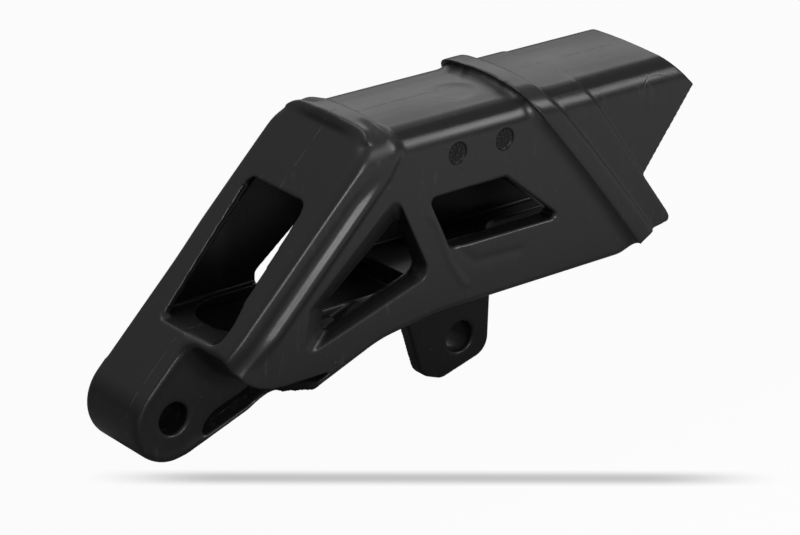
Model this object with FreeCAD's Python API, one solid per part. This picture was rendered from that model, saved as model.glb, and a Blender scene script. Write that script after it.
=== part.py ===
# Chain guide of a motorcycle: one moulded body that is bolted under the swingarm.
# X runs to the rear along the chain, Y to the far side, Z up. Millimetres.
# The origin is the middle of the front bolt hole, at the mould's parting plane.
import FreeCAD, Part
import os
from math import atan, cos, degrees, radians, sin, sqrt, tan
from FreeCAD import Vector

# Front boss and its bolt hole
bore_radius = 5.0
bore_chamfer = 0.6
boss_radius = 14.0
boss_near_y = -5.0
boss_rim_width = 1.9
boss_face_recess = 0.7
boss_edge_round = 1.7
arm_fillet = 5.5
arm_ceiling = 9.2

# Front face, which leans back from the boss to the lip
front_lean = 45.4
front_wall = 2.6
edge_round = 2.2

# Window in the front face that the chain enters by
window_top = 60.9
window_near_y = -15.4
window_width = 27.0
window_skew = 2.6

# Shell: the tunnel that the chain runs through
shell_half_width = 21.0
wall_thickness = 6.0
top_height = 78.9
top_fall = 0.6
top_station = 60.0
crown_rise = 0.7
shoulder_radius = 8.0
roof_thickness = 5.6
floor_height = 25.2
floor_thickness = 3.0
underside_height = 16.6

# Rear end
nose_x = 188.0
nose_height = 67.9
nose_top_slope = 1.02
notch_depth = 19.6
tail_slope = 0.754
flange_length = 12.4
heel_setback = 17.8
flange_tip_height = 24.1

# Rear mounting tab
tab_bore_x = 109.4
tab_bore_height = -3.2
tab_near_y = -5.0
tab_plate_thickness = 5.0
tab_boss_length = 11.6
tab_boss_radius = 8.8

# Raised rim round the front opening, with a flute down each side
rim_proud = 1.3
rim_depth = 14.6
ridge_round = 2.6
lip_rise = 2.3
lip_width = 6.2
lip_overhang = 0.9
lip_drop = 2.6
flute_depth = 2.2
flute_width = 10.4
flute_end_drop = 4.6

# Belt round the shell and the ledge behind it
belt_proud = 1.9
belt_rise = 2.5
belt_foot_setback = 1.7
belt_foot_height = 18.8
belt_head_setback = 73.2
belt_bulge = 1.4
belt_axis_setback = 168.0
belt_width = 8.2
belt_overrun = 5.0
ledge_reach = 32.0
ledge_lean = 0.77
ledge_proud = 0.8

# Bottom strip that joins the boss to the shell
strip_thickness = 2.3
strip_lean = 19.5

# Opening in the floor, with a round front end
opening_front = 14.6
opening_half_width = 12.6
opening_offset = 0.8
opening_end = 84.0

# Slot for the sprocket in the rear of the floor
sprocket_half_width = 9.0
sprocket_slot_start = 126.0

# Marks of the mould
stamp_radius = 3.5
stamp_depth = 0.5

reach = 60.0
lean = radians(front_lean)
inner_half_width = shell_half_width - wall_thickness
rim_half_width = shell_half_width + rim_proud
lip_height = top_height + lip_rise
tail_x = nose_x - notch_depth
flange_tip_x = tail_x + flange_length
heel_x = flange_tip_x - heel_setback
belt_foot_x = tail_x - belt_foot_setback
belt_head_x = nose_x - belt_head_setback
belt_axis_x = nose_x - belt_axis_setback
ledge_rear = tail_x + ledge_reach


def front_x(height, inset=0.0):
    """X of the leaning front face at a height, moved into the body by an inset."""
    return (height * cos(lean) - boss_radius + inset) / sin(lean)


def rounded_edges(corners, y, closed=True):
    """Straight edges at one Y through corners (x, z, radius), with an arc at each corner."""
    points = [Vector(x, y, z) for x, z, radius in corners]
    arrive = []
    leave = []
    edges = []
    count = len(corners)
    for index, corner in enumerate(points):
        radius = corners[index][2]
        if radius == 0 or (not closed and index in (0, count - 1)):
            arrive.append(corner)
            leave.append(corner)
            continue
        back = (points[index - 1] - corner).normalize()
        ahead = (points[(index + 1) % count] - corner).normalize()
        half = back.getAngle(ahead) / 2
        first = corner + back * (radius / tan(half))
        last = corner + ahead * (radius / tan(half))
        middle = corner + (back + ahead).normalize() * (radius / sin(half) - radius)
        edges.append((index, Part.Arc(first, middle, last).toShape()))
        arrive.append(first)
        leave.append(last)
    for index in range(count if closed else count - 1):
        following = arrive[(index + 1) % count]
        if leave[index].distanceToPoint(following) > 1e-6:
            edges.append((index + 0.5, Part.makeLine(leave[index], following)))
    return [edge for place, edge in sorted(edges, key=lambda pair: pair[0])]


def prism(corners, y_from, y_to):
    """A solid between two Y planes with a rounded outline in the side view."""
    wire = Part.Wire(Part.__sortEdges__(rounded_edges(corners, y_from)))
    return Part.Face(wire).extrude(Vector(0, y_to - y_from, 0))


def tapered(outer, y_outer, inner, y_inner):
    """A solid that changes from an outer to an inner rounded outline between two Y planes."""
    wires = []
    for corners, y in ((outer, y_outer), (inner, y_inner)):
        wires.append(Part.Wire(Part.__sortEdges__(rounded_edges(corners, y))))
    return Part.makeLoft(wires, True, True)


def upright(plan, z_from, z_to):
    """A solid between two heights with a rounded outline (x, y, radius) seen from above."""
    block = prism(plan, -z_from, -z_to)
    block.rotate(Vector(0, 0, 0), Vector(1, 0, 0), -90)
    return block


def crowned_bar(half_width, height, radius, rise):
    """A bar along X with straight sides, round shoulders and a slightly crowned top."""
    start = -reach
    shoulder = height - rise
    diagonal = radius * sin(radians(45))
    side = Vector(start, -half_width, shoulder - radius)
    bend = Vector(start, -half_width + radius - diagonal, shoulder - radius + diagonal)
    top = Vector(start, -half_width + radius, shoulder)
    base = Vector(start, -half_width, -reach)

    def across(point):
        return Vector(point.x, -point.y, point.z)

    edges = [Part.makeLine(base, side), Part.Arc(side, bend, top).toShape(),
             Part.Arc(top, Vector(start, 0, height), across(top)).toShape(),
             Part.Arc(across(top), across(bend), across(side)).toShape(),
             Part.makeLine(across(side), across(base)), Part.makeLine(across(base), base)]
    bar = Part.Face(Part.Wire(edges)).extrude(Vector(reach * 5, 0, 0))
    bar.rotate(Vector(top_station, 0, height), Vector(0, 1, 0), degrees(atan(top_fall / 100)))
    return bar


# Where the boss round touches the front face and the bottom strip
touch_front = Vector(-boss_radius * sin(lean), 0, boss_radius * cos(lean))
touch_strip = Vector(boss_radius * sin(radians(strip_lean)), 0, -boss_radius * cos(radians(strip_lean)))
tail_height = nose_height - (nose_x - tail_x) / tail_slope


def underside(raised=0.0):
    """Corners of the side view from the boss along the bottom strip to the rear flange."""
    run = 24.0
    return [(touch_strip.x, touch_strip.z + raised, 0),
            (touch_strip.x + run, touch_strip.z + raised + run * tan(radians(strip_lean)), 10.0),
            (41.0 - raised * 0.5, 4.8 + raised, 8.0),
            (64.0, 13.6 + raised, 40.0),
            (86.0, underside_height + raised, 60.0),
            (heel_x, underside_height + raised, 14.0)]


def side_view():
    """The body's outline in the side view, as a face in the mould's parting plane."""
    top = lip_height + 6
    tip = [(flange_tip_x - 6.3, flange_tip_height - 1.2, 4.0), (flange_tip_x, flange_tip_height, 1.4),
           (tail_x, tail_height, 0)]
    low = rounded_edges(underside() + tip, 0, closed=False)
    angle = radians(225)
    round_middle = Vector(boss_radius * cos(angle), 0, boss_radius * sin(angle))
    front_top = Vector(front_x(top), 0, top)
    rear_top = Vector(nose_x - (top - nose_height) / nose_top_slope, 0, top)
    nose = Vector(nose_x, 0, nose_height)
    tail = Vector(tail_x, 0, tail_height)
    rest = [Part.makeLine(front_top, touch_front), Part.Arc(touch_front, round_middle, touch_strip).toShape(),
            Part.makeLine(tail, nose), Part.makeLine(nose, rear_top), Part.makeLine(rear_top, front_top)]
    return Part.Face(Part.Wire(Part.__sortEdges__(rest + low)))


def body_blank():
    """The full-width body: its side view between two Y planes, with rounded front edges."""
    blank = side_view().extrude(Vector(0, 2 * shell_half_width, 0))
    blank.translate(Vector(0, -shell_half_width, 0))
    rounded = []
    for edge in blank.Edges:
        middle = edge.CenterOfMass
        on_side = abs(abs(middle.y) - shell_half_width) < 0.01
        along_face = abs(middle.x - front_x(middle.z)) < 0.01
        if on_side and along_face:
            rounded.append(edge)
    return blank.makeFillet(edge_round, rounded)


def rim_band():
    """The raised rim: over the top, down both sides and along the front face."""
    front_low = 3.0
    step_x = front_x(lip_height) + lip_width
    step_foot = top_height - 3.4
    cheek_foot = top_height - 19.4
    corners = [(front_x(lip_height + 4), lip_height + 4, 0),
               (step_x - 3.0, lip_height + 4, 0),
               (step_x + 1.2, step_foot, 6.0),
               (step_x + 5.3, step_foot - 14.5, 10.0),
               (step_x + 8.7, step_foot - 21.0, 1.5),
               (front_x(cheek_foot, rim_depth), cheek_foot, 8.0),
               (front_x(front_low, rim_depth), front_low, 0),
               (front_x(front_low), front_low, 0)]
    band = prism(corners, -rim_half_width, rim_half_width)
    band = band.common(crowned_bar(rim_half_width, lip_height, shoulder_radius + rim_proud, crown_rise))
    ridge = []
    for edge in band.Edges:
        points = [edge.valueAt(edge.FirstParameter), edge.CenterOfMass, edge.valueAt(edge.LastParameter)]
        on_front = all(abs(point.x - front_x(point.z)) < 0.02 for point in points)
        if on_front and edge.CenterOfMass.z > front_low + 1:
            ridge.append(edge)
    band = band.makeFillet(ridge_round, ridge)
    arm_top = 34.0
    fade = prism([(-rim_half_width - 4, -4, 0), (shell_half_width - 0.6, -4, 0), (shell_half_width - 0.6, 10, 0),
                  (rim_half_width + 0.5, arm_top, 0), (rim_half_width + 0.5, reach * 2, 0),
                  (-rim_half_width - 4, reach * 2, 0)], reach * 2, -reach * 2)
    fade.rotate(Vector(0, 0, 0), Vector(0, 0, 1), 90)
    return band.common(fade)


def lip():
    """The bead over the top of the rim, which stands forward of the front face."""
    start = lip_height - lip_drop
    step_x = front_x(lip_height) + lip_width
    bead = prism([(front_x(start) - lip_overhang, start, 0.6), (front_x(lip_height) - 0.4, lip_height + 3, 0),
                  (step_x - 2.2, lip_height + 3, 0), (step_x + 0.8, start - 0.4, 0), (step_x - 1, start - 2, 0),
                  (front_x(start - 2, 1.0), start - 2, 0)], -rim_half_width, rim_half_width)
    return bead.common(crowned_bar(rim_half_width - 0.2, lip_height, shoulder_radius + rim_proud, crown_rise))


def flute(side):
    """The round-bottomed groove down one side of the rim, which runs up under the lip."""
    radius = (flute_width ** 2 / 4 + flute_depth ** 2) / (2 * flute_depth)
    middle_inset = rim_depth / 2
    y = side * (rim_half_width + radius - flute_depth)
    top = top_height - flute_end_drop
    low = Vector(front_x(0, middle_inset), y, 0)
    high = Vector(front_x(top, middle_inset), y, top)
    bar = Part.makeCylinder(radius, (high - low).Length, low, high - low)
    return bar.fuse(Part.makeSphere(radius, high))


def bowed_band(front, rear):
    """A slab across the body that is bowed to the rear, between two side lines of three points (x, z)."""
    half = shell_half_width + belt_proud
    arcs = []
    for line in (front, rear):
        middle = [Vector(belt_axis_x + sqrt((x - belt_axis_x) ** 2 + half ** 2), 0, z) for x, z in line]
        arcs.append(Part.Arc(*middle).toShape())
    ends = []
    for index in (0, -1):
        ends.append(Part.makeLine(arcs[0].valueAt(arcs[0].ParameterRange[index]),
                                  arcs[1].valueAt(arcs[1].ParameterRange[index])))
    face = Part.Face(Part.Wire(Part.__sortEdges__(arcs + ends)))
    turn = 40.0
    face.rotate(Vector(belt_axis_x, 0, 0), Vector(0, 0, 1), -turn / 2)
    return face.revolve(Vector(belt_axis_x, 0, 0), Vector(0, 0, 1), turn)


def belt_limit():
    """All that lies in front of the tail and above the underside, where the belt ends."""
    start_x = opening_end
    return prism([(start_x, 8, 0), (heel_x - 3, underside_height, 0), (heel_x, underside_height, 0),
                  (flange_tip_x - 6.3, flange_tip_height - 1.2, 4.0), (flange_tip_x + 0.6, flange_tip_height, 1.4),
                  (tail_x + 0.4, tail_height + 4, 0), (tail_x, reach * 2, 0), (start_x, reach * 2, 0)],
                 -reach / 2, reach / 2)


def belt():
    """The belt round the shell and the lower ledge behind it."""
    head = top_height + belt_rise
    heights = (belt_foot_height, (belt_foot_height + head) / 2, head)
    middle_x = (belt_foot_x + belt_head_x) / 2 + belt_bulge
    front = [(belt_foot_x + belt_overrun, heights[0] - belt_overrun), (middle_x, heights[1]),
             (belt_head_x - belt_overrun, heights[2] + belt_overrun)]
    rear = [(x + belt_width, z) for x, z in front]
    band_bar = crowned_bar(shell_half_width + belt_proud, head, shoulder_radius + 1.5, crown_rise)
    band = bowed_band(front, rear).common(band_bar)
    ledge_bar = crowned_bar(shell_half_width + ledge_proud, top_height, shoulder_radius, crown_rise)
    ledge_line = [(ledge_rear - z * ledge_lean, z) for z in (0, heights[1] + 1, head + 6)]
    ledge_line[1] = (ledge_line[1][0] + 0.01, ledge_line[1][1])
    ledge = bowed_band([(x - belt_width * 1.6, z) for x, z in ledge_line], ledge_line).common(ledge_bar)
    return band.fuse(ledge).common(belt_limit())


def tunnel():
    """The space that the chain runs through, open to the rear."""
    roof = top_height - roof_thickness
    side_view = prism([(front_x(floor_height, front_wall), floor_height, 0),
                       (front_x(roof, front_wall), roof, 3.0),
                       (nose_x + 20, roof, 0),
                       (nose_x + 20, floor_height, 0)], -inner_half_width, inner_half_width)
    return side_view.common(crowned_bar(inner_half_width, roof, 4.0, crown_rise))


def front_window():
    """The opening in the front face, cut along X so that its sill is level with the floor."""
    far_y = window_near_y + window_width
    outline = [(window_near_y + window_skew, window_top, 3.6), (far_y + window_skew, window_top, 3.0),
               (far_y - 1.0, floor_height, 2.4), (window_near_y - 0.8, floor_height, 3.6)]
    cutter = prism(outline, reach, -reach)
    cutter.rotate(Vector(0, 0, 0), Vector(0, 0, 1), 90)
    depth = front_wall + 1.8
    slab = prism([(front_x(0, -reach), 0, 0), (front_x(reach + 10, -reach), reach + 10, 0),
                  (front_x(reach + 10, depth), reach + 10, 0), (front_x(0, depth), 0, 0)], -reach, reach)
    return cutter.common(slab)


def side_windows(side):
    """The bevelled triangular window and the four-sided window in one side wall."""
    face = side * (shell_half_width + 0.05)
    inner = side * (inner_half_width - 2)
    border = [(67.95, 59.4, 3.0), (36.1, 31.2, 2.0), (34.1, 15.9, 3.5), (82.6, 30.3, 4.0)]
    hole = [(72.4, 50.6, 2.0), (44.5, 28.6, 1.2), (44.5, 20.4, 1.6), (80.6, 31.6, 3.2)]
    bevel_depth = 4.0
    cut = tapered(border, face, hole, side * (shell_half_width - bevel_depth))
    cut = cut.fuse(prism(hole, side * (shell_half_width - bevel_depth), inner))
    gate = [(81.2, 54.7, 1.6), (110.8, 55.0, 1.6), (133.9, 36.5, 1.2), (90.3, 37.0, 2.6)]
    gate_border = [(80.0, 55.5, 1.8), (111.2, 55.8, 1.8), (135.4, 36.0, 1.4), (89.8, 36.2, 3.0)]
    cut = cut.fuse(tapered(gate_border, face, gate, side * (shell_half_width - 0.8)))
    return cut.fuse(prism(gate, side * (shell_half_width - 0.8), inner))


def below_strip(raised, start_x):
    """All that lies below a line raised above the bottom strip's underside, from one X on."""
    line = underside(raised)
    start_z = line[0][1] - (line[0][0] - start_x) * tan(radians(strip_lean))
    end_x, end_z = line[3][:2]
    return prism([(start_x, start_z, 0), line[1], line[2], (end_x, end_z, 0), (end_x, -reach, 0),
                  (start_x, -reach, 0)], -reach, reach)


def boss_face():
    """The side outline of the boss's recessed near face, inside its thin raised rim."""
    rim = boss_radius - boss_rim_width
    slope = tan(radians(strip_lean))
    foot = Vector(rim * sin(radians(strip_lean)), 0, -rim * cos(radians(strip_lean)))
    far_x = 60.0
    web = prism([(-rim * sin(lean), rim * cos(lean), 0), (front_x(reach, boss_rim_width), reach, 0),
                 (far_x, reach, 0), (far_x, foot.z + (far_x - foot.x) * slope, 0), (foot.x, foot.z, 0)],
                -reach, 0)
    return web.fuse(Part.makeCylinder(rim, reach, Vector(0, -reach, 0), Vector(0, 1, 0)))


def arm_clearance():
    """The space on the near side of the arm, with the slot between the shell and the bottom strip."""
    level = boss_near_y + boss_face_recess
    outline = [(-40.0, 73.8, 0), (16.9, arm_ceiling, 22.0), (60.0, arm_ceiling, 0), (60.0, -reach, 0),
               (-40.0, -reach, 0)]
    space = prism(outline, -reach, level)
    corner = [edge for edge in space.Edges
              if abs(edge.CenterOfMass.y - level) < 0.01 and edge.CenterOfMass.z > 8
              and abs(edge.CenterOfMass.x + 40) > 1 and edge.BoundBox.ZLength < 70]
    space = space.makeFillet(arm_fillet, corner)
    strip = below_strip(strip_thickness, touch_strip.x)
    border = prism([(-40, -reach, 0), (60, -reach, 0), (60, reach, 0), (-40, reach, 0)], boss_near_y, level + 1)
    return space.cut(strip).cut(border.cut(boss_face()))


def strip_clearance():
    """The space beside the bottom strip, which flares out to the side wall in an S."""
    plan = [(-40, -reach, 0), (45.0, -reach, 0), (41.0, -shell_half_width - 1.5, 4.0), (33.5, boss_near_y, 6.0),
            (-40, boss_near_y, 0)]
    return upright(plan, -reach, reach).common(below_strip(strip_thickness + 0.6, 0.0))


def arm():
    """The arm's side view with its near side cut free, and a round edge round the boss and the swell."""
    block = side_view().extrude(Vector(0, 2 * reach, 0))
    block.translate(Vector(0, -reach, 0))
    behind_boss = prism([(0, 0, 0), (reach, 0, 0), (reach, -reach, 0), (touch_strip.x, -reach, 0),
                         (touch_strip.x, touch_strip.z, 0)], -reach, reach)
    block = block.cut(arm_clearance()).cut(behind_boss)
    chosen = []
    for edge in block.Edges:
        first, last = edge.FirstParameter, edge.LastParameter
        points = [edge.valueAt(first), edge.valueAt((first + last) / 2), edge.valueAt(last)]
        outer = all(abs(p.x - front_x(p.z)) < 0.02 or abs((p.x ** 2 + p.z ** 2) ** 0.5 - boss_radius) < 0.02
                    for p in points)
        if outer and all(boss_near_y - arm_fillet - 0.1 < p.y < boss_near_y + 0.1 for p in points):
            chosen.append(edge)
    return block.makeFillet(boss_edge_round, chosen).fuse(behind_boss)


def hollow():
    """The hollow under the floor, between the arm's outer plate and the bottom strip."""
    strip = underside(strip_thickness)
    ceiling = floor_height - floor_thickness
    plate_start = boss_near_y + 3.5
    front_part = prism([(12.6, -5.0, 0), (12.6, strip[0][1] + (12.6 - strip[0][0]) * tan(radians(strip_lean)), 0),
                        strip[1], strip[2], (48.0, 9.2, 0), (48.0, ceiling, 0), (opening_front + 1.0, ceiling, 0),
                        (opening_front + 1.0, 1.0, 0)], plate_start, shell_half_width - 3.5)
    rear_part = prism([(31.0, ceiling, 0), (31.0, strip[1][1] + 2.0, 0), strip[2], strip[3],
                       (opening_end, underside_height + strip_thickness, 0),
                       (opening_end, ceiling, 0)], -inner_half_width, inner_half_width)
    return front_part.fuse(rear_part)


def floor_openings():
    """The round-fronted opening in the floor and the open slot for the sprocket behind the tab."""
    far = opening_offset + opening_half_width
    near = opening_offset - opening_half_width
    plan = [(opening_front, near, opening_half_width - 0.1), (opening_front, far, opening_half_width - 0.1),
            (opening_end, far, 5.0), (opening_end, near, 5.0)]
    front = upright(plan, floor_height - floor_thickness - 1, floor_height + 1)
    slot_plan = [(sprocket_slot_start, -sprocket_half_width, sprocket_half_width - 0.1),
                 (sprocket_slot_start, sprocket_half_width, sprocket_half_width - 0.1),
                 (nose_x, sprocket_half_width, 0), (nose_x, -sprocket_half_width, 0)]
    return front.fuse(upright(slot_plan, underside_height - 2, floor_height + 1))


def plate_opening():
    """The wedge-shaped opening in the arm's near plate, between its web and the bottom strip."""
    strip = underside(strip_thickness)
    slope = tan(radians(strip_lean))
    foot_x = 10.6
    foot = strip[0][1] + (foot_x - strip[0][0]) * slope
    end_x = 34.0
    outline = [(foot_x, foot, 0.5), (11.6, foot + 3.4, 2.0), (14.4, -2.5, 1.5), (end_x, 4.2, 0),
               (end_x, strip[0][1] + (end_x - strip[0][0]) * slope, 0)]
    return prism(outline, boss_near_y - 1, -1)


def bore(x, z, y_from, y_to):
    """A bolt hole along Y with a chamfer at both ends."""
    hole = Part.makeCylinder(bore_radius, y_to - y_from, Vector(x, y_from, z), Vector(0, 1, 0))
    wide = bore_radius + bore_chamfer
    near = Part.makeCone(wide, bore_radius, bore_chamfer, Vector(x, y_from, z), Vector(0, 1, 0))
    far = Part.makeCone(bore_radius, wide, bore_chamfer, Vector(x, y_to - bore_chamfer, z), Vector(0, 1, 0))
    return hole.fuse(near).fuse(far)


def tab():
    """The rear mounting tab: a plate under the floor with a boss round its bolt hole."""
    top = floor_height - 1.0
    outline = [(84.0, top, 0), (88.6, 4.5, 2.0), (94.6, -12.6, 6.0), (102.6, -15.6, 5.0), (121.1, -10.6, 6.0),
               (121.1, top, 0)]
    plate = prism(outline, tab_near_y, tab_near_y + tab_plate_thickness)
    tube = Part.makeCylinder(tab_boss_radius, tab_boss_length, Vector(tab_bore_x, tab_near_y, tab_bore_height),
                             Vector(0, 1, 0))
    web = prism([(tab_bore_x - 5.5, top, 0), (tab_bore_x - 7.5, tab_bore_height, 0),
                 (tab_bore_x + 7.5, tab_bore_height, 0), (tab_bore_x + 5.5, top, 0)],
                tab_near_y, tab_near_y + tab_boss_length)
    return plate.fuse(tube).fuse(web)


def stamps():
    """Two round date stamps on the near side."""
    depth = shell_half_width - stamp_depth
    marks = []
    for x, z in ((91.1, top_height - 11.6), (109.6, top_height - 11.4)):
        marks.append(Part.makeCylinder(stamp_radius, 5, Vector(x, -depth - 5, z), Vector(0, 1, 0)))
    return marks


blank = body_blank()
shell_bar = crowned_bar(shell_half_width, top_height, shoulder_radius, crown_rise)
body = blank.common(shell_bar).common(arm())
body = body.cut(arm_clearance())
body = body.cut(strip_clearance())
body = body.fuse(rim_band().cut(arm_clearance()))
for side in (-1, 1):
    body = body.cut(flute(side))
body = body.fuse(lip())
body = body.fuse(belt())
body = body.cut(tunnel())
body = body.cut(front_window())
body = body.cut(hollow())
body = body.cut(plate_opening())
body = body.cut(floor_openings())
for side in (-1, 1):
    body = body.cut(side_windows(side))
body = body.fuse(tab())
body = body.cut(bore(0, 0, boss_near_y + boss_face_recess, shell_half_width))
body = body.cut(bore(tab_bore_x, tab_bore_height, tab_near_y, tab_near_y + tab_boss_length))
for mark in stamps():
    body = body.cut(mark)
os.makedirs("parts", exist_ok=True)
body.exportStep("parts/guide_body.step")
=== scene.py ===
"""Looks of the chain guide: moulded black plastic, its camera, lights and floor."""
import math

import bmesh
import bpy
import numpy as np
from mathutils import Matrix, Vector


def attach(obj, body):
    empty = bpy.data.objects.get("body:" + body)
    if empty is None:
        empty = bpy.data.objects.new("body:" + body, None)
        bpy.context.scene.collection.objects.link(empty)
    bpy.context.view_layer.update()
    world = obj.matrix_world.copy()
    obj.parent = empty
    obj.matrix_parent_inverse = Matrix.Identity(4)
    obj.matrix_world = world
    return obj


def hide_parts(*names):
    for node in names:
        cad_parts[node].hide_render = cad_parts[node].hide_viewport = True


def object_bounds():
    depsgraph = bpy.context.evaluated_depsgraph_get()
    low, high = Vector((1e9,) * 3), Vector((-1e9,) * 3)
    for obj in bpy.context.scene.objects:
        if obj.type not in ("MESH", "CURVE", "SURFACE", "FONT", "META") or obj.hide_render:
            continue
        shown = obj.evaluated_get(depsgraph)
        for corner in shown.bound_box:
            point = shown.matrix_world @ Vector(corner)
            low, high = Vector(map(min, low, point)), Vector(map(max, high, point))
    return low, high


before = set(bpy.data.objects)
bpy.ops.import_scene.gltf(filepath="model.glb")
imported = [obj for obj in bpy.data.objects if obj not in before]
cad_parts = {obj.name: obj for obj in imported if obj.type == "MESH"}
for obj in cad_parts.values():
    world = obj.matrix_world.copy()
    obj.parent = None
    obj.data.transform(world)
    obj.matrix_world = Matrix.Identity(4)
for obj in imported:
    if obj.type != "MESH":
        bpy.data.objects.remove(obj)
cad_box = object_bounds()
MM = 0.001
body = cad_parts["guide_body"]

# Sizes of the body that the looks follow, in millimetres
shell_half_width = 21.0
top_height = 78.9
top_fall = 0.006
top_station = 60.0
crown_rise = 0.7
shoulder_radius = 8.0
belt_axis_x = 20.0
belt_proud = 1.9
belt_line = ((171.7, 13.8), (142.15, 50.1), (109.8, 86.4))
front_lean = math.radians(45.4)
boss_radius = 14.0

# The corner of the bottom strip that the skin fills out: its side view, and where it starts and ends in Y
web_outline = ((29.5, -3.6), (35.5, 0.75), (35.5, 2.9), (29.5, -1.7))
web_sides = (-4.9, -0.5)

# The rim's side walls: levels above the shell, and places as (height, distance behind the front face)
front_ridge_inset = 2.2
front_ridge_level = 1.15
flute_depth = 1.15
rear_ridge_level = ((66.0, 1.45), (80.0, 2.1))
rear_ridge_crest = ((66.0, 12.0), (71.2, 10.4), (75.8, 7.4), (79.2, 4.6), (80.5, 3.4))
rear_ridge_foot = ((66.0, 15.8), (73.3, 13.6), (76.0, 11.2), (78.5, 8.2), (80.0, 6.3), (81.0, 5.3))

# The hollow ramp ahead of the belt, and the shallow marks of the mould
cove_length = 5.2
crease_line = ((81.0, -21, 50.1), (83.9, -21, 46.1), (89.7, -21, 32.7), (96.1, -21, 23.6))
crease_rise = 0.35
pad_edge_line = ((92.7, -21, 36.5), (99.7, -21, 30.2), (109.8, -21, 29.9), (117.9, -21, 29.5))
pad_edge_depth = 0.28
dent_middle = (103.5, -3.0)
dent_reach = (9.5, 7.0)
dent_depth = 0.32
dial_places = ((91.1, top_height - 11.6), (109.6, top_height - 11.4))
dial_radius = 3.35
dial_bed_y = -(shell_half_width - 0.5)
ejector_place = (171.7, 68.0)
ejector_radius = 6.2

# The skin's mesh
voxel_size = 0.42
skin_triangles = 190000

# The floor, and the soft dark line of painted shadow that lies along it
floor_gap = 0.4
shade_middle = (57.2, -54.7)
shade_turn = math.radians(36.66)
shade_depth = 0.43


def link_object(thing):
    bpy.context.scene.collection.objects.link(thing)
    return thing


def settled(thing):
    """The mesh of an object after its modifiers."""
    graph = bpy.context.evaluated_depsgraph_get()
    return bpy.data.meshes.new_from_object(thing.evaluated_get(graph), depsgraph=graph)


def smooth_step(value, low, high):
    """0 below one value and 1 above another, with a soft change between."""
    t = np.clip((value - low) / (high - low), 0, 1)
    return t * t * (3 - 2 * t)


def bump_between(value, low, high, edge):
    """1 between two values, falling off smoothly over an edge on both sides."""
    return smooth_step(value, low - edge, low) * (1 - smooth_step(value, high, high + edge))


def by_height(z, pairs):
    """A measure that changes with height, from pairs of height and measure."""
    return np.interp(z, *zip(*pairs))


def circle_through(first, middle, last):
    """Centre and radius of the circle through three points of a plane."""
    (ax, az), (bx, bz), (cx, cz) = first, middle, last
    a, b, c = ax ** 2 + az ** 2, bx ** 2 + bz ** 2, cx ** 2 + cz ** 2
    d = 2 * (ax * (bz - cz) + bx * (cz - az) + cx * (az - bz))
    ux = (a * (bz - cz) + b * (cz - az) + c * (az - bz)) / d
    uz = (a * (cx - bx) + b * (ax - cx) + c * (bx - ax)) / d
    return ux, uz, math.hypot(ax - ux, az - uz)


def belt_front_x(y, z):
    """X of the belt's front edge on the surface, at arrays of Y and height."""
    half = shell_half_width + belt_proud
    points = [(belt_axis_x + math.hypot(x - belt_axis_x, half), height) for x, height in belt_line]
    cx, cz, radius = circle_through(*points)
    side = 1 if points[0][0] > cx else -1
    ring = cx + side * np.sqrt(np.maximum(radius ** 2 - (z - cz) ** 2, 0)) - belt_axis_x
    return belt_axis_x + np.sqrt(np.maximum(ring ** 2 - y ** 2, 0))


def front_x(z):
    """X of the leaning front face at a height."""
    return (z * math.cos(front_lean) - boss_radius) / math.sin(front_lean)


def off_shell(x, y, z):
    """Height above the shell's skin and the direction out of it, at arrays of points."""
    half_top = shell_half_width - shoulder_radius
    crown = crown_rise * (1 - (np.abs(y) / half_top) ** 2)
    level = top_height - (x - top_station) * top_fall - crown_rise
    across = np.abs(y) - half_top
    rise = z - (level - shoulder_radius)
    reach = np.hypot(np.maximum(across, 1e-6), np.maximum(rise, 1e-6))
    on_top = across <= 0
    on_side = (rise <= 0) & ~on_top
    beside = np.where(on_side, np.abs(y) - shell_half_width, reach - shoulder_radius)
    height = np.where(on_top, z - (level + crown), beside)
    out_y = np.where(on_top, 0, np.where(on_side, 1, across / reach)) * np.sign(y)
    out_z = np.where(on_top, 1, np.where(on_side, 0, rise / reach))
    return height, out_y, out_z


def far_from_line(points, line):
    """Distance of each point from a chain of straight runs."""
    best = np.full(len(points), 1e9)
    for first, last in zip(line, line[1:]):
        first, last = np.array(first), np.array(last)
        run = last - first
        share = np.clip((points - first) @ run / (run @ run), 0, 1)
        best = np.minimum(best, np.linalg.norm(points - first - share[:, None] * run, axis=1))
    return best


def raise_cove(points):
    """Lifts the shell ahead of the belt into a hollow ramp that meets the belt's front edge."""
    x, y, z = points.T
    height, out_y, out_z = off_shell(x, y, z)
    near_skin = (height > -0.7) & (height < belt_proud + 0.3) & (z > 17.5)
    ahead = belt_front_x(y, z) - x
    ramp = (belt_proud - 0.2) * np.clip(1 - ahead / cove_length, 0, 1) ** 2.2
    ramp = np.where(ahead > -0.6, ramp, 0)
    lift = np.where(near_skin, np.maximum(ramp - np.maximum(height, 0), 0), 0)
    points[:, 1] += out_y * lift
    points[:, 2] += out_z * lift


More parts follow.
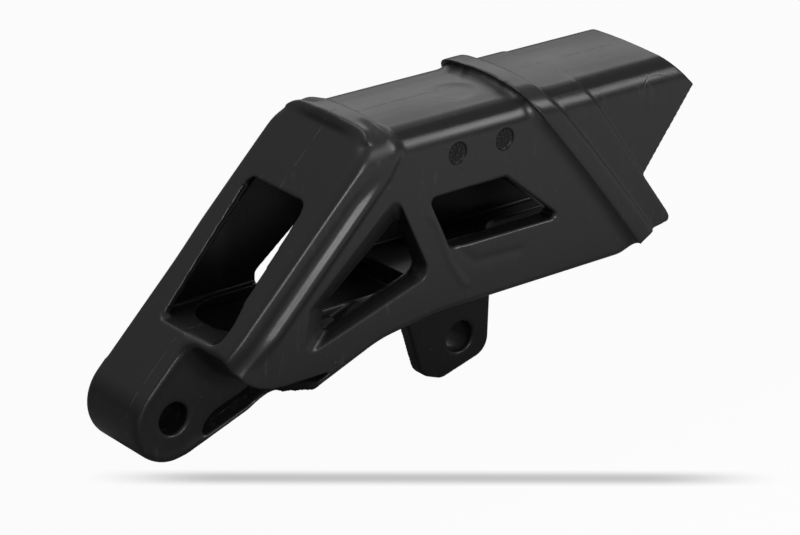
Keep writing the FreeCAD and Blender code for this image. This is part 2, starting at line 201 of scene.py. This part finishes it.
def roll_rim(points):
    """Rolls the rim's sides: a front ridge, a flute, and a rear ridge that bends up into the lip."""
    x, y, z = points.T
    height, out_y, out_z = off_shell(x, y, z)
    inset = (x - front_x(z)) * math.sin(front_lean)
    crest = by_height(z, rear_ridge_crest)
    foot = by_height(z, rear_ridge_foot)
    rear_level = by_height(z, rear_ridge_level)

    # The level across the rim, from the front ridge over the flute and the rear ridge to the shell
    first = np.minimum(front_ridge_inset, crest - 1)
    across = np.clip((inset - first) / (crest - first), 0, 1)
    flute = (0.5 - 0.5 * np.cos(2 * math.pi * across ** 1.5)) * (1 - smooth_step(z, 60, 71))
    ahead = front_ridge_level + (rear_level - front_ridge_level) * smooth_step(across, 0, 1)
    ahead = ahead - flute_depth * flute
    fall = 0.5 + 0.5 * np.cos(math.pi * np.clip((inset - crest) / (foot - crest), 0, 1))
    level = np.where(inset > crest, rear_level * fall, ahead)

    # Where the rim takes that level: not by the boss, on the flat of the top or inside the wall
    start = np.where(y < 0, smooth_step(z, 17, 27), smooth_step(z, 36, 48))
    on_rim = (inset < foot + 0.4) * (height > -1.75)
    share = start * on_rim * smooth_step(np.abs(y), 8, 17) * smooth_step(inset, 0.4, 1.4)
    points[:, 1] += out_y * share * (level - height)
    points[:, 2] += out_z * share * (level - height)

    # The lip's overhang fades out towards the shoulders
    tucked = np.where(inset < 0, -inset, 0) * smooth_step(np.abs(y), 5, 19) * smooth_step(z, 72, 76)
    points[:, 0] += tucked / math.sin(front_lean)


def press_marks(points):
    """Raises the crease and sinks the pad's edge in the near wall, and sinks the dent in the top."""
    x, y, z = points.T
    crease = crease_rise * np.exp(-(far_from_line(points, crease_line) / 1.2) ** 2)
    pad_edge = pad_edge_depth * np.exp(-(far_from_line(points, pad_edge_line) / 1.6) ** 2)
    near_wall = (y < -(shell_half_width - 1.2)) & (x > 78)
    points[:, 1] += np.where(near_wall, pad_edge - crease, 0)
    roof = (z > top_height - 2.5) & (z < top_height + 1.2) & (x < 113)
    across_x = (x - dent_middle[0]) / dent_reach[0]
    across_y = (y - dent_middle[1]) / dent_reach[1]
    lens = 1 - across_x ** 2 - across_y ** 2
    points[:, 2] -= np.where(roof, dent_depth * smooth_step(lens, 0, 0.8), 0)


def softened(points):
    """How strongly each point is smoothed: the lip's ends, the swell, the boss's near edge and the ridges."""
    x, y, z = points.T
    out = np.abs(y)
    behind = x - front_x(z)
    lip = smooth_step(z, top_height - 8, top_height - 4) * (1 - smooth_step(behind, 8, 13))
    lip *= 0.25 + 0.75 * smooth_step(out, 10, 16)
    swell = bump_between(z, 7, 32, 4) * (1 - smooth_step(behind, 4, 9))
    swell *= (y < -3.0) * (y > -shell_half_width - 3)
    belt = 0.3 * bump_between(x - belt_front_x(y, z), -6, 9, 2) * (z > 16)
    boss_edge = bump_between(y, -8.0, -3.2, 1.5) * bump_between(np.hypot(x, z), 10.5, 60, 1.5)
    boss_edge *= (z > -16) * (x < 40)
    ridge = (1 - smooth_step(behind, 3.5, 5.5)) * smooth_step(out, 18, 19.5) * (z > 12)
    return np.clip(lip + swell + belt + boss_edge + ridge, 0, 1)


def kept_in_box(points):
    """Keeps the skin inside the solid's own box."""
    low, high = (np.array(corner) / MM for corner in cad_box)
    np.clip(points, low + 0.01, high - 0.01, out=points)


def prism_mesh(name, corners, y_from, y_to):
    """A closed solid between two Y planes from an outline in the side view."""
    ring = [Vector((x, y, z)) * MM for y in (y_from, y_to) for x, z in corners]
    count = len(corners)
    faces = [list(range(count))[::-1], list(range(count, 2 * count))]
    faces += [[i, (i + 1) % count, count + (i + 1) % count, count + i] for i in range(count)]
    mesh = bpy.data.meshes.new(name)
    mesh.from_pydata(ring, [], faces)
    return mesh


def moved(mesh, change):
    """Applies a function to the points of a mesh, in millimetres."""
    points = np.empty(len(mesh.vertices) * 3)
    mesh.vertices.foreach_get("co", points)
    points = points.reshape(-1, 3) / MM
    change(points)
    mesh.vertices.foreach_set("co", (points * MM).ravel())
    mesh.update()
    return points


def moulded_skin():
    """The body's surface with softly rounded edges and the shallow forms of the mould."""
    blend = bmesh.new()
    blend.from_mesh(body.data)
    blend.from_mesh(prism_mesh("strip_web", web_outline, *web_sides))
    mesh = bpy.data.meshes.new("guide_skin")
    blend.to_mesh(mesh)
    blend.free()
    skin = link_object(bpy.data.objects.new("guide_skin", mesh))
    even = skin.modifiers.new("even", "REMESH")
    even.mode = "VOXEL"
    even.voxel_size = voxel_size * MM
    skin.data = settled(skin)
    skin.modifiers.clear()
    moved(skin.data, raise_cove)
    moved(skin.data, roll_rim)
    points = moved(skin.data, press_marks)
    group = skin.vertex_groups.new(name="soft")
    weight = softened(points)
    for level in np.linspace(0.1, 1.0, 10):
        chosen = np.flatnonzero((weight > level - 0.1) & (weight <= level))
        group.add(chosen.tolist(), float(level), "REPLACE")
    for name, rounds, where in (("soft_all", 6, ""), ("soft_forms", 75, "soft")):
        soft = skin.modifiers.new(name, "SMOOTH")
        soft.factor = 0.5
        soft.iterations = rounds
        soft.vertex_group = where
    thin = skin.modifiers.new("thin", "DECIMATE")
    thin.ratio = min(1.0, skin_triangles / (2 * len(skin.data.polygons)))
    light = settled(skin)
    skin.modifiers.clear()
    skin.vertex_groups.clear()
    skin.data = light
    moved(light, kept_in_box)
    light.shade_smooth()
    return skin


def date_dial(name, x, z, hand_angle):
    """The ticks, hub and hand moulded in the round bed of a date stamp, on the near side wall."""
    corners = []
    faces = []

    def bar(angle, start, end, width):
        along = Vector((math.cos(angle), 0, math.sin(angle)))
        beside = Vector((-math.sin(angle), 0, math.cos(angle))) * width / 2
        first = len(corners)
        for level in (dial_bed_y + 0.1, dial_bed_y - 0.16):
            middle = Vector((x, level, z))
            for reach, side in ((start, -1), (end, -1), (end, 1), (start, 1)):
                corners.append((middle + along * reach + beside * side) * MM)
        faces.append([first + 4, first + 5, first + 6, first + 7])
        for i in range(4):
            j = (i + 1) % 4
            faces.append([first + i, first + j, first + 4 + j, first + 4 + i])

    for index in range(12):
        bar(math.radians(30 * index), 2.15, 3.0, 0.34)
    bar(hand_angle, -1.2, 1.55, 0.42)
    bar(hand_angle + math.radians(90), -0.45, 0.45, 0.9)
    mesh = bpy.data.meshes.new(name)
    mesh.from_pydata(corners, [], faces)
    return link_object(bpy.data.objects.new(name, mesh))


def shader_maths(tree):
    """Functions that set a socket, add a maths node, and spread a value from one range to another."""
    def put(socket, value):
        if isinstance(value, bpy.types.NodeSocket):
            tree.links.new(value, socket)
        else:
            socket.default_value = value

    def calc(operation, first, second=0.0, third=0.0):
        node = tree.nodes.new("ShaderNodeMath")
        node.operation = operation
        for socket, value in zip(node.inputs, (first, second, third)):
            put(socket, value)
        return node.outputs[0]

    def spread(value, low, high, first=0.0, last=1.0, change="SMOOTHSTEP"):
        node = tree.nodes.new("ShaderNodeMapRange")
        node.interpolation_type = change
        for socket, number in zip(node.inputs, (value, low, high, first, last)):
            put(socket, number)
        return node.outputs["Result"]

    return put, calc, spread


def camera_ray(tree):
    """1 for a ray from the camera, and 0 for the light that falls on the object."""
    return tree.nodes.new("ShaderNodeLightPath").outputs["Is Camera Ray"]


def moulded_plastic():
    """Satin black plastic with eroded grain, a parting line, an ejector's ring, dials, faint scuffs, and
    painted shade in the lines round the dials and inside the hollow.
    """
    material = bpy.data.materials.new("guide_plastic_look")
    material.use_nodes = True
    tree = material.node_tree
    shader = tree.nodes["Principled BSDF"]
    put, calc, spread = shader_maths(tree)
    place = tree.nodes.new("ShaderNodeTexCoord").outputs["Object"]
    apart = tree.nodes.new("ShaderNodeSeparateXYZ")
    tree.links.new(place, apart.inputs[0])
    x, y, z = (calc("DIVIDE", apart.outputs[i], MM) for i in range(3))

    def noise(scale, detail=2.0, roughness=0.5, stretch=(1, 1, 1)):
        sized = tree.nodes.new("ShaderNodeMapping")
        sized.inputs["Scale"].default_value = stretch
        tree.links.new(place, sized.inputs["Vector"])
        node = tree.nodes.new("ShaderNodeTexNoise")
        tree.links.new(sized.outputs[0], node.inputs["Vector"])
        node.inputs["Scale"].default_value = scale
        node.inputs["Detail"].default_value = detail
        node.inputs["Roughness"].default_value = roughness
        return node.outputs["Fac"]

    def blend(amount, first, second):
        node = tree.nodes.new("ShaderNodeMix")
        node.data_type = "RGBA"
        put(node.inputs[0], amount)
        put(node.inputs[6], first)
        put(node.inputs[7], second)
        return node.outputs[2]

    def away_from(centre_x, centre_z):
        """Distance from a point of the side view."""
        along = calc("POWER", calc("SUBTRACT", x, centre_x), 2.0)
        above = calc("POWER", calc("SUBTRACT", z, centre_z), 2.0)
        return calc("SQRT", calc("ADD", along, above))

    def circle_line(distance, radius, core, edge):
        """1 on a thin circle at a radius, 0 beyond its soft edge."""
        return spread(calc("ABSOLUTE", calc("SUBTRACT", distance, radius)), core, edge, 1.0, 0.0)

    flow = noise(26.0, 3.0)
    grain = noise(2100.0, 3.0, 0.6)
    scuffs = noise(420.0, 3.0, 0.7, (1.0, 1.0, 0.25))
    dust = noise(1500.0, 1.0, 0.3)
    blotch = noise(60.0, 2.0)
    speck = spread(dust, 0.83, 0.85)
    worn = calc("MULTIPLY", spread(scuffs, 0.56, 0.72), spread(blotch, 0.42, 0.62))
    near_wall = spread(y, -20.0, -19.0, 1.0, 0.0)

    # The mould's parting line, which shows broken along the middle plane, but not on the tab
    seam = calc("MULTIPLY", spread(calc("ABSOLUTE", y), 0.08, 0.26, 1.0, 0.0),
                spread(noise(300.0, 1.0), 0.42, 0.56))
    off_tab = calc("MAXIMUM", spread(z, 2.0, 4.0), spread(x, 60.0, 70.0, 1.0, 0.0))
    seam = calc("MULTIPLY", seam, off_tab)

    # The ring left by an ejector near the rear end of the near side
    ring = circle_line(away_from(*ejector_place), ejector_radius, 0.1, 0.4)
    ring = calc("MULTIPLY", ring, near_wall)

    # The dull beds of the two date stamps, and round each a dark line of painted shade, where a groove's
    # shade falls
    bed = 0.0
    rim = 0.0
    for dial_place in dial_places:
        away = away_from(*dial_place)
        bed = calc("MAXIMUM", bed, spread(away, dial_radius - 0.05, dial_radius + 0.15, 1.0, 0.0))
        rim = calc("MAXIMUM", rim, circle_line(away, dial_radius, 0.15, 0.45))
    below_ticks = spread(y, dial_bed_y - 0.14, dial_bed_y - 0.08)
    bed = calc("MULTIPLY", calc("MULTIPLY", bed, near_wall), below_ticks)
    rim = calc("MULTIPLY", rim, near_wall)

    # Painted shade inside the hollow: less reflection between the walls behind the front face, where shade
    # falls
    front_here = calc("MULTIPLY_ADD", z, 1 / math.tan(front_lean), front_x(0))
    between_walls = calc("MULTIPLY", spread(calc("ABSOLUTE", y), 18.7, 19.3, 1.0, 0.0),
                         spread(z, 77.0, 77.6, 1.0, 0.0))
    behind_front = calc("MULTIPLY", spread(calc("SUBTRACT", x, front_here), 3.4, 4.4), spread(x, 30.0, 36.0))
    hollow = calc("MULTIPLY", between_walls, behind_front)

    colour = blend(flow, (0.0070, 0.0072, 0.0080, 1), (0.0105, 0.0108, 0.0120, 1))
    colour = blend(calc("MULTIPLY", worn, 0.35), colour, (0.045, 0.045, 0.048, 1))
    colour = blend(calc("MULTIPLY", seam, 0.5), colour, (0.085, 0.085, 0.09, 1))
    colour = blend(calc("MULTIPLY", speck, 0.55), colour, (0.22, 0.22, 0.23, 1))
    put(shader.inputs["Base Color"], colour)
    rough = calc("ADD", spread(flow, 0.3, 0.7, 0.28, 0.34), calc("MULTIPLY", worn, 0.10))
    put(shader.inputs["Roughness"], calc("MULTIPLY_ADD", bed, 0.25, rough))
    # Painted shade: the dark lines round the dials and the inside of the hollow reflect less; the dial beds
    # are a duller finish
    dull_bed_and_painted_shade = calc("MAXIMUM", calc("MULTIPLY", rim, 0.85), calc("MULTIPLY", hollow, 0.5))
    dull_bed_and_painted_shade = calc("MAXIMUM", calc("MULTIPLY", bed, 0.62), dull_bed_and_painted_shade)
    put(shader.inputs["Specular IOR Level"], calc("MULTIPLY_ADD", dull_bed_and_painted_shade, -0.5, 0.5))
    relief = calc("ADD", calc("MULTIPLY", grain, 0.35), calc("MULTIPLY", seam, 1.2))
    relief = calc("SUBTRACT", relief, calc("MULTIPLY", ring, 0.8))
    bump = tree.nodes.new("ShaderNodeBump")
    bump.inputs["Strength"].default_value = 0.5
    bump.inputs["Distance"].default_value = 0.09 * MM
    put(bump.inputs["Height"], relief)
    tree.links.new(bump.outputs["Normal"], shader.inputs["Normal"])
    return material


def paper_floor():
    """A floor that is white to the camera and grey to the object, with painted shadow: darker under the
    object, and a soft dark line along it.
    """
    bpy.ops.mesh.primitive_plane_add(size=6, location=(0.1, 0, cad_box[0].z - floor_gap * MM))
    floor = bpy.context.object
    floor.name = "floor"
    paper = bpy.data.materials.new("floor_paper")
    paper.use_nodes = True
    tree = paper.node_tree
    put, calc, spread = shader_maths(tree)
    apart = tree.nodes.new("ShaderNodeSeparateXYZ")
    tree.links.new(tree.nodes.new("ShaderNodeNewGeometry").outputs["Position"], apart.inputs[0])
    x, y = (calc("DIVIDE", apart.outputs[i], MM) for i in range(2))

    def from_middle(share_x, share_y):
        """Distance from the middle of the painted shadow line along one direction of the floor."""
        part_y = calc("MULTIPLY", calc("SUBTRACT", y, shade_middle[1]), share_y)
        part_x = calc("SUBTRACT", x, shade_middle[0])
        return calc("ABSOLUTE", calc("MULTIPLY_ADD", part_x, share_x, part_y))

    # Painted shadow: the paper's colour is darker under the object than before it, where the object's shade
    # falls
    sheet = tree.nodes["Principled BSDF"]
    sheet.inputs["Roughness"].default_value = 0.9
    put(sheet.inputs["Base Color"], spread(y, -130.0, -30.0, 0.60, 0.22))
    # Painted shadow: a soft dark line along the floor, dimming the white that the camera sees
    length = spread(from_middle(math.cos(shade_turn), -math.sin(shade_turn)), 60.0, 105.0, 1.0, 0.0)
    width = spread(from_middle(math.sin(shade_turn), math.cos(shade_turn)), 0.4, 6.0, 1.0, 0.0)
    glow = tree.nodes.new("ShaderNodeEmission")
    put(glow.inputs["Strength"], calc("MULTIPLY_ADD", calc("MULTIPLY", length, width), -shade_depth, 1.0))
    mixed = tree.nodes.new("ShaderNodeMixShader")
    put(mixed.inputs[0], calc("MULTIPLY", camera_ray(tree), 0.96))
    tree.links.new(sheet.outputs[0], mixed.inputs[1])
    tree.links.new(glow.outputs[0], mixed.inputs[2])
    tree.links.new(mixed.outputs[0], tree.nodes["Material Output"].inputs["Surface"])
    floor.data.materials.append(paper)
    return floor


def long_lens():
    """The camera: a long lens from the near side of the front end, rolled a little."""
    azimuth, tilt, roll = (math.radians(v) for v in (40.87, 23.63, -2.0))
    level = Vector((math.sin(azimuth), math.cos(azimuth), 0)) * math.cos(tilt)
    ahead = level - Vector((0, 0, math.sin(tilt)))
    right = Vector((math.cos(azimuth), -math.sin(azimuth), 0))
    down = ahead.cross(right)
    turned_right = math.cos(roll) * right + math.sin(roll) * down
    turned_down = -math.sin(roll) * right + math.cos(roll) * down
    data = bpy.data.cameras.new("camera")
    data.sensor_width = 36
    data.lens = 162
    data.clip_end = 20
    camera = link_object(bpy.data.objects.new("camera", data))
    turn = Matrix((turned_right, -turned_down, -ahead)).transposed().to_4x4()
    camera.matrix_world = Matrix.Translation(Vector((-565.36, -755.34, 460.86)) * MM) @ turn
    bpy.context.scene.camera = camera


def softbox(name, place, size, power, aim=(0.09, 0, 0.035)):
    """A rectangular lamp that faces a point on the object."""
    data = bpy.data.lights.new(name, "AREA")
    data.shape = "RECTANGLE"
    data.size, data.size_y = size
    data.energy = power
    lamp = link_object(bpy.data.objects.new(name, data))
    lamp.location = place
    lamp.rotation_euler = (Vector(aim) - Vector(place)).to_track_quat("-Z", "Y").to_euler()


def studio_world():
    """White to the camera, and to the object a pale sky that darkens towards the horizon."""
    world = bpy.data.worlds.new("studio")
    bpy.context.scene.world = world
    world.use_nodes = True
    tree = world.node_tree
    put, calc, spread = shader_maths(tree)
    apart = tree.nodes.new("ShaderNodeSeparateXYZ")
    tree.links.new(tree.nodes.new("ShaderNodeTexCoord").outputs["Generated"], apart.inputs[0])
    sky = spread(apart.outputs["Z"], 0.0, 0.8, 0.11, 0.5, "LINEAR")
    background = tree.nodes["Background"]
    background.inputs["Color"].default_value = (1, 1, 1, 1)
    to_white = calc("MULTIPLY", camera_ray(tree), calc("SUBTRACT", 1.0, sky))
    put(background.inputs["Strength"], calc("ADD", sky, to_white))


plastic = moulded_plastic()
body.data.materials.clear()
body.data.materials.append(plastic)
skin = moulded_skin()
dials = [date_dial("date_dial_front", *dial_places[0], math.radians(62)),
         date_dial("date_dial_rear", *dial_places[1], math.radians(128))]
for piece in [skin] + dials:
    piece.data.materials.clear()
    piece.data.materials.append(plastic)
    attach(piece, "root")
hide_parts("guide_body")

floor = paper_floor()
long_lens()
softbox("ceiling", (0.05, 0.35, 1.15), (0.7, 0.7), 2.6)
softbox("rear_panel", (0.85, 1.15, 0.66), (1.3, 0.5), 2.3)
softbox("shoulder_panel", (0.75, -0.71, 0.55), (0.35, 0.35), 2.6)
softbox("side_panel", (0.11, -0.95, 0.23), (0.26, 0.28), 2.3)
studio_world()
bpy.context.scene.view_settings.view_transform = "Standard"
